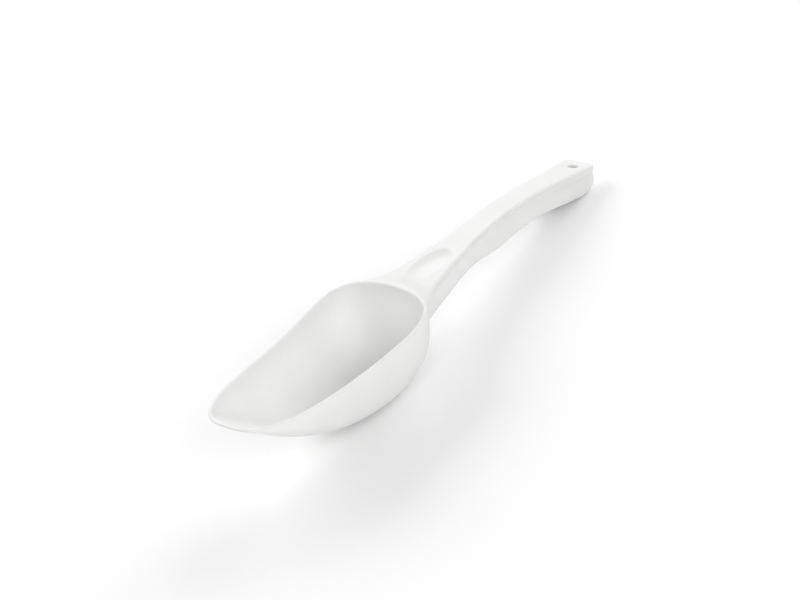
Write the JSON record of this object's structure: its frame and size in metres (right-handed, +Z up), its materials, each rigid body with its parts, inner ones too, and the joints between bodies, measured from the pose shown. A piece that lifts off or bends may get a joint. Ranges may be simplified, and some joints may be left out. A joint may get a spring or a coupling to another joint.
{
  "type": "ice scoop",
  "caption": "Moulded white plastic ice scoop: long ramped bowl with a rounded rim, thumb hollow at the neck, arched open-backed handle with a hanging hole",
  "frame": {"origin": "middle of the box's underside, on the surface the scoop rests on", "axes": "+X from the tip of the bowl to the end of the handle, +Y across, +Z up"},
  "size_m": [0.2998, 0.066, 0.0536],
  "materials": {
    "white_plastic": "satin-gloss moulded polypropylene"
  },
  "bodies": {
    "root": {"bowl": "white_plastic", "rim": "white_plastic", "neck": "white_plastic", "thumb_rest": "white_plastic", "handle": "white_plastic", "handle_end": "white_plastic", "handle_ribs": "white_plastic"}
  },
  "joints": []
}
